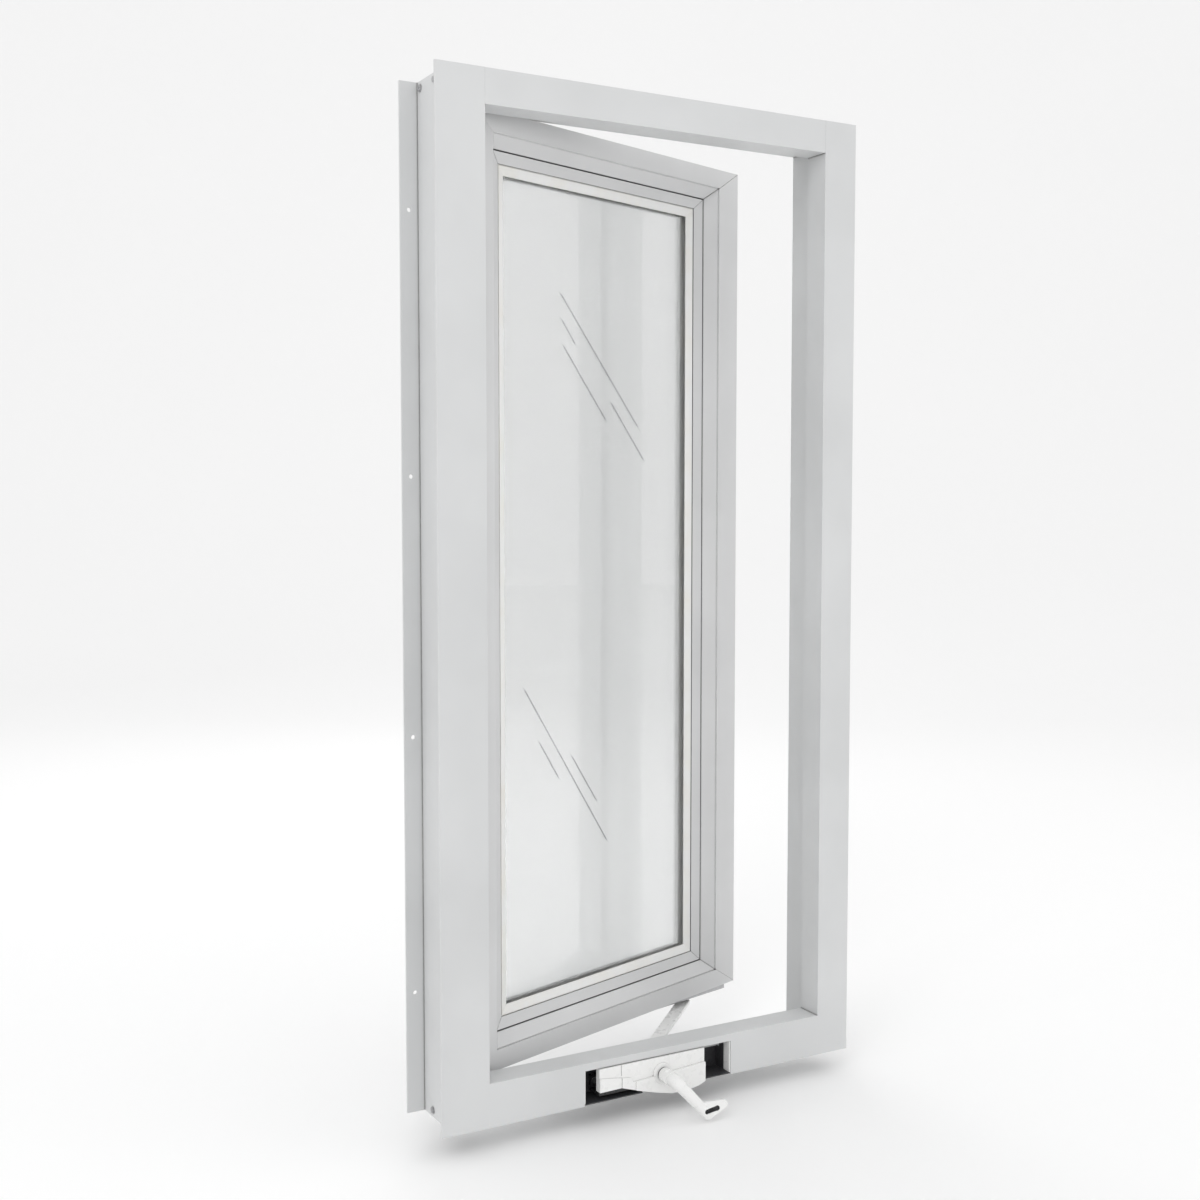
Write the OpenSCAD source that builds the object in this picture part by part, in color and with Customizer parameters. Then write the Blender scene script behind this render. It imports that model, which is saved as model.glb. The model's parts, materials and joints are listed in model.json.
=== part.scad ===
// Casement window with a side-hung, outward-opening sash and a crank operator.
// Local layout before the last shift: X runs to the right along the room face, Y runs outdoors,
// Z runs up, and the zero is the lower left corner of the room face.
// The part's origin is the middle of the four outer fixing holes, on the fins' wall side.

/* [Frame] */
// Width of the room face
face_w = 580; // [480:5:760]
// Height of the room face
face_h = 1200; // [900:10:1500]
// Depth of the frame from the room face to its outdoor face
frame_depth = 84; // [83:1:110]
// Thickness of the room face flange
face_t = 3; // [2:0.5:4]
// Face width of the hinge jamb
hinge_face = 60; // [56:1:80]
// Face width of the lock jamb
lock_face = 48; // [44:1:70]
// Face height of the head
head_face = 40; // [36:1:60]
// Face height of the sill
sill_face = 52; // [50:1:70]
// Overhang of the room face around the frame body
lip = 8; // [6:0.5:12]
// Wall of the hollow frame sections
wall = 2.5; // [2:0.5:3]
// Depth of the inner stop that the sash closes against
stop_depth = 36; // [35.5:0.5:37]
// Height of the inner stop above the rebate
stop_step = 12; // [10:0.5:16]
// Height of the sill's outer rebate floor
rebate_floor = 26; // [24:0.5:28]

/* [Fixing fins] */
// Distance from the room face to the fins
fin_y = 68; // [50:1:76]
// Reach of a fin beyond the frame body
fin_reach = 22; // [18:1:35]
// Thickness of a fin
fin_t = 2.5; // [2:0.5:3]
// Radius of a fixing hole
fin_hole_r = 2.6; // [2:0.1:3.5]
// Distance from the body to the fixing holes
fin_hole_out = 11; // [9:0.5:14]
// Height between the outer fixing holes
fin_span_outer = 900; // [600:10:1000]
// Height between the inner fixing holes
fin_span_inner = 300; // [200:10:500]

/* [Sash] */
// Angle that the sash stands open at rest
rest_open = 18; // [0:1:40]
// Gap between the sash edge and the rebate on the hinge side and at the head
sash_gap = 3; // [2.5:0.5:5]
// Gap between the sash edge and the rebate on the lock side
lock_gap = 4; // [4:0.5:7]
// Space between the stop and the closed sash
seal_gap = 2.5; // [2:0.1:3.5]
// Height of the sash's lower edge above the frame's lower edge
sash_bottom = 45; // [44:0.5:47]
// Flat width of the hinge stile
stile_flat = 30; // [24:1:50]
// Flat width of the lock stile
lock_stile_flat = 42; // [24:1:60]
// Flat height of the rails
rail_flat = 26; // [20:1:45]
// Width of the sloped step inside the flat
step_w = 12.5; // [9:0.5:15]
// Depth of the sloped step
step_d = 16; // [12:0.5:17]
// Width of a glazing bead
bead_w = 14; // [10:0.5:17]
// Depth that a glazing bead falls
bead_fall = 6; // [4:0.5:7]
// Width of the wedge between bead and glass
wedge_w = 12; // [9:0.5:14]
// Thickness of the sash's outdoor lip
outer_lip = 2.5; // [2:0.5:3]

/* [Glass] */
// Thickness of the tape between the glass and the outdoor lip
tape_t = 2; // [1:0.5:2.5]
// Thickness of one pane
pane_t = 4; // [3:0.5:4]
// Space between the panes
cavity = 6; // [6:0.5:7]
// Space between the glass edge and the rebate
glass_play = 5; // [3:0.5:6]

/* [Hinges] */
// Distance of the hinge axis from the outdoor face
axis_out = 5; // [5:0.5:7]
// Height of one hinge
hinge_h = 70; // [50:1:100]
// Distance from a sash end to the middle of its hinge
hinge_inset = 130; // [80:5:250]
// Width of one hinge leaf
leaf_w = 24; // [20:1:34]
// Thickness of a hinge leaf
leaf_t = 2.5; // [2:0.5:3]
// Outer radius of a hinge knuckle
knuckle_r = 4.5; // [4:0.25:4.75]
// Radius of a hinge pin
hinge_pin_r = 2.5; // [2:0.25:3]

/* [Operator] */
// Distance of the crank spindle to the lock side of the face's middle
spindle_off = 2; // [-8:1:8]
// Height of the crank spindle
spindle_z = 22; // [21:0.5:23]
// Width of the opening in the sill for the operator
notch_w = 210; // [190:2:240]
// Height of the sill face left above that opening
notch_strip = 9; // [7:0.5:10]
// Depth of the arm's pivot behind the room face
pivot_y = 18; // [17.5:0.25:18.25]
// Radius of the arm's pivot pin
pivot_r = 3; // [2.5:0.25:3.5]
// Teeth that a full gear would have
gear_teeth = 26; // [24:1:27]
// Mean radius of the worm
worm_mean_r = 4.9; // [4.5:0.1:5.2]
// Half height of the worm's thread
thread_half = 1.1; // [0.9:0.05:1.2]
// Radius of the spindle's journals
journal_r = 3.5; // [3:0.25:3.7]
// Width of the arm
arm_w = 17; // [13:0.5:21]
// Thickness of the arm
arm_t = 4; // [3:0.5:4.5]
// Angle of the guide track to the sash
track_skew = 4.5; // [4:0.1:5]
// Radius of the stud in the shoe
stud_r = 3; // [2.5:0.25:3.25]

/* [Crank] */
// Angle of the handle at rest, from level
crank_angle = -50; // [-90:1:0]
// Radius of the handle's arm at its bend
tube_r = 8; // [7:0.25:8.5]
// Radius of the handle's arm at the grip
tube_end_r = 6.5; // [6:0.25:6.75]
// Radius of the handle's hub
hub_r = 9; // [8.75:0.25:10]
// Straight length of the handle's arm
tube_len = 47; // [30:1:60]
// Radius of the handle's bend
bend_r = 13; // [11:0.5:18]
// Turn of the handle's bend
bend_turn = 72; // [60:1:80]

/* [Fits] */
// Radial clearance of a turning fit
run_fit = 0.05; // [0.02:0.01:0.1]
// Clearance between the shoe and its track
slide_fit = 0.4; // [0.3:0.05:0.6]
// Clearance between a moving part and a fixed one
free_gap = 2; // [1.5:0.25:3]
// Radial clearance of a screw hole
screw_fit = 0.15; // [0.1:0.05:0.3]

/* [Hidden] */
$fn = 48;
eps = 1;

// Colours
paint = [0.83, 0.83, 0.83];
bead_paint = [0.80, 0.80, 0.80];
white = [0.96, 0.96, 0.95];
steel = [0.66, 0.67, 0.69];
black = [0.08, 0.08, 0.09];
clear = [0.85, 0.90, 0.92, 0.4];

// Frame lines
open_left = hinge_face;
open_right = face_w - lock_face;
open_top = face_h - head_face;
rebate_left = hinge_face - stop_step;
rebate_right = open_right + stop_step;
rebate_top = open_top + stop_step;
body_top = face_h - lip;

// Sash box, closed
sash_left = rebate_left + sash_gap;
sash_right = rebate_right - lock_gap;
sash_top = rebate_top - sash_gap;
sash_y = stop_depth + seal_gap;
sash_t = frame_depth - sash_y;
trim_w = step_w + bead_w + wedge_w;
bead_d = step_d + bead_fall;
groove_w = 1.5;
groove_d = 2.2;
pocket_w = step_w + glass_play;
glass_t = 2 * pane_t + cavity;
glass_in = sash_t - outer_lip - tape_t - glass_t;
bead_base = glass_in - 2;

// Hinge axis
hinge_x = rebate_left + sash_gap / 2;
hinge_y = frame_depth + axis_out;
hinge_zs = [sash_top - hinge_inset, sash_bottom + hinge_inset];
sash_knuckle = hinge_h / 3;
knuckle_gap = 0.3;
screw_z = hinge_h * 0.31;
small_head_r = 3.6;
small_head_t = 1.3;
small_shank_r = 1.8;
small_screw_len = 14;

// Arm, worm and gear: the arm is as long as the line from the hinge axis to its pivot, and the
// track's line meets the hinge axis, so the arm turns exactly twice as far as the sash.
spindle_x = face_w / 2 + spindle_off;
gear_r = gear_teeth / 2;
worm_pitch = PI;
pivot_x = spindle_x - gear_r - worm_mean_r - 0.1;
link = [pivot_x - hinge_x, pivot_y - hinge_y];
arm_len = norm(link);
link_angle = atan2(link.y, link.x);
track_dir = rest_open - track_skew;
arm_angle = 2 * track_dir - link_angle;
stud_x = pivot_x + arm_len * cos(arm_angle);
stud_y = pivot_y + arm_len * sin(arm_angle);
open_total = 56;
track_far = 2 * arm_len * cos(-track_skew - link_angle);
track_near = 2 * arm_len * cos(open_total - track_skew - link_angle);
shoe_l = 28;
shoe_w = 14.2;
shoe_h = 4.8;
track_wall = 1.2;
track_w = shoe_w + 2 * slide_fit + 2 * track_wall;
track_h = shoe_h + 2 * slide_fit + 2 * track_wall;
track_end = shoe_l / 2 + 4;
arm_z = spindle_z + 8;
gear_t = 3;
gear_root = gear_r - thread_half - 0.2;
gear_tip = gear_r + thread_half - 0.35;
gear_hub_r = 8;
root_r = 10.5;
pin_top = arm_z + arm_t + 6;

// Operator body
notch_left = face_w / 2 - notch_w / 2;
notch_right = notch_left + notch_w;
notch_top = sill_face - notch_strip;
liner_t = 1.2;
base_back = stop_depth - wall - liner_t;
base_front = 6;
base_w = 142;
base_left = spindle_x - 84;
base_bottom = 6;
base_plate = 3;
bush_r = 5.5;
thread_from = 13;
thread_to = 27;
slot_left = pivot_x - 44;
slot_right = pivot_x + arm_len * 0.82;
cover_front = -2;
cover_left = base_left - 4;
cover_len = base_w + 8;
cover_right = cover_left + cover_len;
boss_front = cover_front - 4.4;
hub_from = 2.2 - boss_front;
hub_to = hub_from + 17.5;
shaft_out = -hub_to + 1;

// Moves the lower left face corner away so that the origin lies between the fixing holes.
module placed() {
    translate([-face_w / 2, -fin_y, -face_h / 2]) children();
}

// A block from one corner to the other.
module block(a, b) {
    translate(a) cube(b - a);
}

// Extrudes a (Y, Z) outline along X.
module along_x(from, to) {
    translate([from, 0, 0]) rotate([90, 0, 90]) linear_extrude(to - from) children();
}

// Extrudes an (X, Z) outline along Y.
module along_y(from, to) {
    translate([0, to, 0]) rotate([90, 0, 0]) linear_extrude(to - from) children();
}

// A cylinder along +Y.
module rod_y(r, from, to) {
    translate([0, from, 0]) rotate([-90, 0, 0]) cylinder(r = r, h = to - from);
}

// A cylinder along +X.
module rod_x(r, from, to) {
    translate([from, 0, 0]) rotate([0, 90, 0]) cylinder(r = r, h = to - from);
}

// Turns the closed sash to its rest angle.
module sash_pose() {
    placed() translate([hinge_x, hinge_y, 0]) rotate([0, 0, rest_open])
        translate([-hinge_x, -hinge_y, 0]) children();
}

// ---------- Frame ----------

module jamb_outline(face) {
    polygon([[lip, face_t - 0.5], [face, face_t - 0.5], [face, stop_depth],
        [face - stop_step, stop_depth], [face - stop_step, frame_depth], [lip, frame_depth],
        [lip, fin_y + fin_t], [lip - fin_reach, fin_y + fin_t], [lip - fin_reach, fin_y],
        [lip, fin_y]]);
}

module jamb(face) {
    difference() {
        union() {
            block([0, 0, 0], [face, face_t, face_h]);
            translate([0, 0, lip]) linear_extrude(body_top - lip) jamb_outline(face);
        }
        block([lip + wall, face_t, -eps], [face - wall, stop_depth - wall, face_h + eps]);
        block([lip + wall, stop_depth, -eps],
            [face - stop_step - wall, frame_depth - wall, face_h + eps]);
        for (dz = [-fin_span_outer, -fin_span_inner, fin_span_inner, fin_span_outer] / 2)
            translate([lip - fin_hole_out, 0, face_h / 2 + dz])
                rod_y(fin_hole_r, fin_y - eps, fin_y + fin_t + eps);
        for (p = corner_screw_places())
            translate([0, p[0], p[1]])
                rod_x(corner_shank_r + screw_fit, lip - eps, face + eps);
    }
}

corner_shank_r = 2;
corner_head_r = 4.2;
corner_head_t = 2.6;
corner_reach = 18;
port_r = 4.2;

// (Y, Z) of every screw that holds the head and the sill between the jambs.
function corner_screw_places() = [
    [stop_depth / 2 + 1, body_top - 8], [stop_depth + 24, body_top - 8],
    [stop_depth + 8, lip + 8], [frame_depth - 8, lip + 8]];

module hinge_jamb() {
    color(paint) placed() difference() {
        jamb(hinge_face);
        hinge_screw_holes(-1);
    }
}

module lock_jamb() {
    color(paint) placed() translate([face_w, 0, 0]) mirror([1, 0, 0]) jamb(lock_face);
}

// Round screw ports inside a head or sill section.
module ports(low, high) {
    for (p = corner_screw_places())
        if (p[1] > low && p[1] < high)
            translate([0, p[0], p[1]]) difference() {
                rod_x(port_r, rebate_left, rebate_right);
                rod_x(corner_shank_r + 0.05, rebate_left - eps, rebate_right + eps);
            }
}

module frame_head() {
    color(paint) placed() {
        difference() {
            union() {
                block([open_left, 0, open_top], [open_right, face_t, face_h]);
                block([open_left, 0, open_top], [open_right, stop_depth, body_top]);
                block([rebate_left, stop_depth, rebate_top], [rebate_right, frame_depth, body_top]);
            }
            block([open_left - eps, face_t, open_top + wall],
                [open_right + eps, stop_depth - wall, body_top - wall]);
            block([rebate_left - eps, stop_depth, rebate_top + wall],
                [rebate_right + eps, frame_depth - wall, body_top - wall]);
        }
        intersection() {
            ports(face_h / 2, face_h);
            union() {
                block([open_left, face_t, open_top + wall],
                    [open_right, stop_depth - wall, body_top]);
                block([rebate_left, stop_depth, rebate_top + wall],
                    [rebate_right, frame_depth, body_top]);
            }
        }
    }
}

module sill_body() {
    block([open_left, 0, 0], [open_right, face_t, sill_face]);
    block([open_left, 0, lip], [open_right, stop_depth, sill_face]);
    along_x(rebate_left, rebate_right)
        polygon([[stop_depth, lip], [frame_depth, lip], [frame_depth, rebate_floor - 3],
            [stop_depth, rebate_floor]]);
}

weep_w = 24;
weep_h = 4;

module frame_sill() {
    color(paint) placed() {
        difference() {
            sill_body();
            block([open_left - eps, face_t, lip + wall],
                [open_right + eps, stop_depth - wall, sill_face - wall]);
            along_x(rebate_left - eps, rebate_right + eps)
                polygon([[stop_depth, lip + wall], [frame_depth - wall, lip + wall],
                    [frame_depth - wall, rebate_floor - 3 - wall],
                    [stop_depth, rebate_floor - wall]]);
            block([notch_left, -eps, -eps], [notch_right, stop_depth - wall, notch_top]);
            arm_slot();
            for (x = [0.22, 0.78] * face_w)
                block([x - weep_w / 2, frame_depth - wall - eps, lip + wall],
                    [x + weep_w / 2, frame_depth + eps, lip + wall + weep_h]);
            operator_screw_holes();
        }
        intersection() {
            ports(0, face_h / 2);
            block([rebate_left, stop_depth, lip],
                [rebate_right, frame_depth - wall + 0.1, rebate_floor - wall]);
        }
    }
}

seal_r = 2.1;

// Half-round weather strip on the outdoor side of the stop, all the way round.
module frame_seal() {
    left = (sash_left + open_left) / 2;
    right = (sash_right + open_right) / 2;
    low = (sash_bottom + sill_face) / 2;
    high = (sash_top + open_top) / 2;
    color(black) placed() intersection() {
        union() {
            for (x = [left, right])
                translate([x, stop_depth, low - seal_r])
                    cylinder(r = seal_r, h = high - low + 2 * seal_r);
            for (z = [low, high])
                translate([0, stop_depth, z]) rod_x(seal_r, left, right);
        }
        block([0, stop_depth, 0], [face_w, frame_depth, face_h]);
    }
}

module corner_screws() {
    color(steel) placed() for (p = corner_screw_places()) {
        translate([0, p[0], p[1]]) {
            rod_x(corner_head_r, lip - corner_head_t, lip);
            rod_x(corner_shank_r, lip - 0.5, hinge_face + corner_reach);
            rod_x(corner_head_r, face_w - lip, face_w - lip + corner_head_t);
            rod_x(corner_shank_r, open_right - corner_reach, face_w - lip + 0.5);
        }
    }
}

// ---------- Hinges ----------

// Holes for the hinge screws: side -1 is the frame's, side 1 is the sash's.
module hinge_screw_holes(side) {
    for (z = hinge_zs, dz = [-screw_z, screw_z])
        translate([hinge_x + side * leaf_w * 0.72, 0, z + dz])
            rod_y(small_shank_r + screw_fit, frame_depth - wall - outer_lip - eps, frame_depth + eps);
}

module leaf_plate(side, z) {
    near = side * (knuckle_r + 1);
    far = side * (leaf_w + knuckle_r + 1);
    translate([hinge_x, 0, z]) difference() {
        block([min(near, far), frame_depth, -hinge_h / 2],
            [max(near, far), frame_depth + leaf_t, hinge_h / 2]);
        for (dz = [-screw_z, screw_z])
            translate([side * leaf_w * 0.72, 0, dz]) {
                rod_y(small_shank_r + screw_fit, frame_depth - eps, frame_depth + leaf_t + eps);
                rod_y(small_head_r + screw_fit, frame_depth + leaf_t - small_head_t,
                    frame_depth + leaf_t + eps);
            }
    }
}

// One knuckle with the tongue that joins it to its leaf.
module knuckle(side, from, to, bore) {
    reach = knuckle_r + 2;
    translate([hinge_x, hinge_y, 0]) difference() {
        union() {
            translate([0, 0, from]) cylinder(r = knuckle_r, h = to - from);
            block([min(0, side * reach), -axis_out, from],
                [max(0, side * reach), -axis_out + leaf_t, to]);
        }
        translate([0, 0, from - eps]) cylinder(r = bore, h = to - from + 2 * eps);
    }
}

module frame_leaf(z) {
    color(steel) placed() {
        leaf_plate(-1, z);
        knuckle(-1, z - hinge_h / 2, z - sash_knuckle / 2, hinge_pin_r);
        knuckle(-1, z + sash_knuckle / 2, z + hinge_h / 2, hinge_pin_r);
    }
}

module sash_leaf(z) {
    half = sash_knuckle / 2 - knuckle_gap;
    color(steel) sash_pose() {
        leaf_plate(1, z);
        knuckle(1, z - half, z + half, hinge_pin_r + run_fit);
    }
}

module hinge_pin(z) {
    color(steel) placed() translate([hinge_x, hinge_y, 0]) {
        translate([0, 0, z - hinge_h / 2]) cylinder(r = hinge_pin_r, h = hinge_h);
        for (end = [z - hinge_h / 2 - 1.5, z + hinge_h / 2])
            translate([0, 0, end]) cylinder(r = hinge_pin_r + 1, h = 1.5);
    }
}

module hinge_frame_leaf_upper() frame_leaf(hinge_zs[0]);
module hinge_frame_leaf_lower() frame_leaf(hinge_zs[1]);
module hinge_sash_leaf_upper() sash_leaf(hinge_zs[0]);
module hinge_sash_leaf_lower() sash_leaf(hinge_zs[1]);
module hinge_pin_upper() hinge_pin(hinge_zs[0]);
module hinge_pin_lower() hinge_pin(hinge_zs[1]);

module hinge_screws(side) {
    for (z = hinge_zs, dz = [-screw_z, screw_z])
        translate([hinge_x + side * leaf_w * 0.72, 0, z + dz]) {
            rod_y(small_shank_r, frame_depth + leaf_t - small_screw_len,
                frame_depth + leaf_t - small_head_t + 0.1);
            rod_y(small_head_r, frame_depth + leaf_t - small_head_t, frame_depth + leaf_t);
        }
}

module hinge_frame_screws() {
    color(steel) placed() hinge_screws(-1);
}

module hinge_sash_screws() {
    color(steel) sash_pose() hinge_screws(1);
}

// ---------- Operator ----------

operator_shank_r = 2;
operator_head_r = 3.8;
operator_head_t = 2.4;
operator_screw_z = base_bottom + base_plate + 8;
ear_w = 14;
ear_t = 2.5;
bush_l = 4.4;

function operator_screw_xs() = [base_left + ear_w / 2, base_left + base_w - ear_w / 2];

module operator_screw_holes() {
    for (x = operator_screw_xs())
        translate([x, 0, operator_screw_z])
            rod_y(operator_shank_r + screw_fit, base_back - ear_t - eps, stop_depth + eps);
}

// Opening that the arm swings through.
module arm_slot() {
    block([slot_left, base_back - eps, rebate_floor + 0.5],
        [slot_right, stop_depth + eps, arm_z + arm_t + free_gap]);
}

tray_low = 1;
cap_depth = 14;
cap_t = 1.5;
liner_side = 10;

// Dark tray behind and below the operator.
module recess_liner() {
    back = stop_depth - wall;
    tray_top = tray_low + liner_t;
    color(black) placed() difference() {
        union() {
            block([notch_left, base_back, tray_low], [notch_right, back, notch_top]);
            block([notch_left, base_front + 0.5, tray_low], [notch_right, back, tray_top]);
            block([notch_left, 0.3, tray_low], [cover_left + 62, back, tray_top]);
            block([cover_right + free_gap, 0.3, tray_low], [notch_right, back, tray_top]);
            block([notch_left, cap_depth, tray_low], [notch_left + liner_t, back, notch_top]);
            block([notch_right - liner_t, cap_depth, tray_low], [notch_right, back, notch_top]);
        }
        arm_slot();
        block([notch_right - liner_t - eps, cap_depth + liner_side, arm_z - free_gap],
            [notch_right + eps, base_back, arm_z + arm_t + free_gap]);
        operator_screw_holes();
    }
}

// Plates that close the hollow sill at both ends of the opening.
module recess_end_caps() {
    color(paint) placed() for (x = [notch_left, notch_right - cap_t])
        block([x, 0.4, tray_low + liner_t], [x + cap_t, cap_depth, notch_top]);
}

module operator_base() {
    color(black) placed() difference() {
        union() {
            block([base_left, base_front, base_bottom],
                [base_left + base_w, base_back, base_bottom + base_plate]);
            block([base_left, base_front, base_bottom],
                [base_left + base_w, base_front + ear_t, arm_z + arm_t + 5]);
            for (x = operator_screw_xs())
                block([x - ear_w / 2, base_back - ear_t, base_bottom],
                    [x + ear_w / 2, base_back, base_bottom + 18]);
            translate([pivot_x, pivot_y, base_bottom]) cylinder(r = gear_hub_r, h = 10);
            block([pivot_x - 10, base_front, arm_z + arm_t + free_gap],
                [pivot_x + 10, pivot_y + 8, arm_z + arm_t + 5]);
            block([spindle_x - 8, base_front, base_bottom],
                [spindle_x + 8, base_front + bush_l, spindle_z + 8]);
            block([spindle_x - 8, thread_to + 0.6, base_bottom],
                [spindle_x + 8, base_back, spindle_z + 6]);
        }
        translate([spindle_x, 0, spindle_z]) rod_y(bush_r, base_front - eps, base_back + eps);
        translate([pivot_x, pivot_y, base_bottom - eps])
            cylinder(r = pivot_r, h = pin_top);
        translate([pivot_x, pivot_y, spindle_z - gear_t / 2 - 0.5])
            cylinder(r = gear_tip + 0.6, h = gear_t + 1);
        block([pivot_x - root_r - 4, base_front - eps, arm_z - 1],
            [pivot_x + root_r + 4, base_front + ear_t + eps, arm_z + arm_t + 1]);
        operator_screw_holes();
    }
}

// Front outlines (X, Z) of the cover from its left end: lower edge, top of its swollen band.
cover_edge = [[0, 14], [30, 14.5], [50, 8], [75, 1], [100, -5], [120, -6], [140, -3],
    [cover_len, 1]];
cover_band = [[cover_len, 25], [94, 21.5], [47, 18.5], [43, 24.5], [22, 28], [0, 31]];
belly_edge = [for (i = [2:7]) cover_edge[i]];
belly_top = [[cover_len, 25], [94, 21.5], [50, 18.7]];
cover_high = notch_top - 0.8;
seam_x = 30;
boss_r = 12.5;
spindle_hole_r = journal_r + 1.5;

// Die-cast front of the operator, in one piece with a seam line near its left end.
module operator_cover() {
    color(white) placed() difference() {
        union() {
            translate([cover_left, 0, 0]) {
                along_y(cover_front, base_front)
                    polygon(concat(cover_edge, [[cover_len, cover_high], [0, cover_high]]));
                along_y(cover_front - 1.8, base_front) polygon(concat(cover_edge, cover_band));
                along_y(cover_front - 3.2, base_front) polygon(concat(belly_edge, belly_top));
            }
            translate([spindle_x, 0, spindle_z]) rod_y(boss_r, boss_front, base_front);
        }
        translate([cover_left, 0, 0]) {
            block([3, 0, 17.5], [cover_len - 3, base_front + eps, cover_high - 2.2]);
            block([80, 0, 4], [cover_len - 3, base_front + eps, 18]);
            block([seam_x, cover_front - 4, -10], [seam_x + 0.8, cover_front - 0.8, face_h]);
            block([seam_x, cover_front - 4, 29], [seam_x + 0.8, cover_front + 0.8, face_h]);
        }
        translate([spindle_x, 0, spindle_z])
            rod_y(spindle_hole_r, boss_front - eps, base_front + eps);
    }
}

// Dark ring between the cover's boss and the handle's hub.
module spindle_seal() {
    color(black) placed() translate([spindle_x, 0, spindle_z]) difference() {
        rod_y(hub_r - 0.6, boss_front - 1.8, boss_front);
        rod_y(journal_r + run_fit, boss_front - 2 * eps - 1, boss_front + eps);
    }
}

module operator_screws() {
    color(steel) placed() for (x = operator_screw_xs()) translate([x, 0, operator_screw_z]) {
        rod_y(operator_head_r, base_back - ear_t - operator_head_t, base_back - ear_t);
        rod_y(operator_shank_r, base_back - ear_t - 0.5, stop_depth + 3);
    }
}

module arm_pivot_pin() {
    color(steel) placed() translate([pivot_x, pivot_y, base_bottom]) {
        cylinder(r = pivot_r, h = arm_z + arm_t + 5 - base_bottom);
        translate([0, 0, arm_z + arm_t + 5 - base_bottom]) cylinder(r = pivot_r + 1.2, h = 1.2);
    }
}

// Front and rear bushes that the worm shaft turns in.
module worm_bushing() {
    color(black) placed() translate([spindle_x, 0, spindle_z])
        for (y = [[base_front, base_front + bush_l], [thread_to + 0.6, base_back]])
            difference() {
                rod_y(bush_r, y[0], y[1]);
                rod_y(journal_r + run_fit, y[0] - eps, y[1] + eps);
            }
}

// The worm's one-start thread is an off-centre circle swept along a helix.
module worm_shaft() {
    turns = (thread_to - thread_from) / worm_pitch;
    phase = 360 * (pivot_y - thread_from) / worm_pitch;
    color(steel) placed() translate([spindle_x, 0, spindle_z]) {
        rod_y(journal_r, shaft_out, base_back - 0.2);
        rod_y(worm_mean_r - thread_half - 0.15, thread_from - 0.2, thread_to + 0.2);
        translate([0, thread_from, 0]) rotate([-90, 0, 0]) rotate([0, 0, -phase])
            linear_extrude(thread_to - thread_from, twist = -360 * turns, slices = 72)
                translate([thread_half, 0]) circle(r = worm_mean_r, $fn = 18);
    }
}

// Toothed sector around the pivot, in the arm's rest position.
module sector_gear() {
    last_tooth = ceil((2 * rest_open + 10) / (360 / gear_teeth));
    first_tooth = -ceil((2 * (open_total - rest_open) + 10) / (360 / gear_teeth));
    color(steel) placed() translate([pivot_x, pivot_y, 0]) difference() {
        union() {
            translate([0, 0, spindle_z - gear_t / 2]) intersection() {
                cylinder(r = gear_root, h = gear_t);
                sector_wedge(first_tooth - 0.5, last_tooth + 0.5);
            }
            translate([0, 0, base_bottom + 10.3])
                cylinder(r = gear_hub_r, h = arm_z - base_bottom - 10.3);
            for (i = [first_tooth:last_tooth]) rotate([0, 0, i * 360 / gear_teeth])
                translate([0, 0, spindle_z - gear_t / 2]) linear_extrude(gear_t)
                    polygon([[gear_root - 1, -0.75], [gear_root, -0.68], [gear_tip, -0.2],
                        [gear_tip, 0.2], [gear_root, 0.68], [gear_root - 1, 0.75]]);
        }
        translate([0, 0, -eps]) cylinder(r = pivot_r + run_fit, h = 2 * face_h / 10);
    }
}

// A prism that keeps the teeth from the first to the last, wider than the gear.
module sector_wedge(first, last) {
    far = 3 * gear_r;
    pitch = 360 / gear_teeth;
    n = 8;
    linear_extrude(gear_t)
        polygon(concat([[0, 0]], [for (i = [0:n]) let(a = pitch * (first + (last - first) * i / n))
            [far * cos(a), far * sin(a)]]));
}

// Flat arm from the pivot to the stud, wider at its root.
module operator_arm() {
    root_l = 46;
    color(white) placed() translate([pivot_x, pivot_y, arm_z]) rotate([0, 0, arm_angle])
        difference() {
            union() {
                cylinder(r = root_r, h = arm_t);
                linear_extrude(arm_t) polygon([[0, -root_r], [root_l, -arm_w / 2],
                    [arm_len, -arm_w / 2], [arm_len, arm_w / 2], [root_l, arm_w / 2],
                    [root_l - 12, root_r - 0.5], [0, root_r]]);
                translate([arm_len, 0, 0]) cylinder(r = arm_w / 2, h = arm_t);
            }
            translate([0, 0, -eps]) cylinder(r = pivot_r + run_fit, h = arm_t + 2 * eps);
            translate([arm_len, 0, -eps]) cylinder(r = stud_r, h = arm_t + 2 * eps);
        }
}

module guide_stud() {
    top = sash_bottom - track_wall - slide_fit;
    color(steel) placed() translate([stud_x, stud_y, 0]) {
        translate([0, 0, arm_z]) cylinder(r = stud_r, h = top - arm_z - 0.3);
        translate([0, 0, arm_z - 1.2]) cylinder(r = stud_r + 1.5, h = 1.2);
        translate([0, 0, arm_z + arm_t]) cylinder(r = stud_r + 1.5, h = 1.2);
    }
}

// Nylon shoe with round ends, running inside the guide track.
module track_shoe() {
    top = sash_bottom - track_wall - slide_fit;
    half = (shoe_l - shoe_w) / 2;
    color(black) placed() translate([stud_x, stud_y, top - shoe_h]) rotate([0, 0, track_dir])
        difference() {
            union() {
                block([-half, -shoe_w / 2, 0], [half, shoe_w / 2, shoe_h]);
                for (s = [-half, half]) translate([s, 0, 0]) cylinder(r = shoe_w / 2, h = shoe_h);
            }
            translate([0, 0, -eps]) cylinder(r = stud_r + run_fit, h = shoe_h + 2 * eps);
        }
}

// Places children on the track line of the closed sash: X along it from the hinge axis.
module on_track() {
    sash_pose() translate([hinge_x, hinge_y, sash_bottom]) rotate([0, 0, -track_skew]) children();
}

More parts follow.
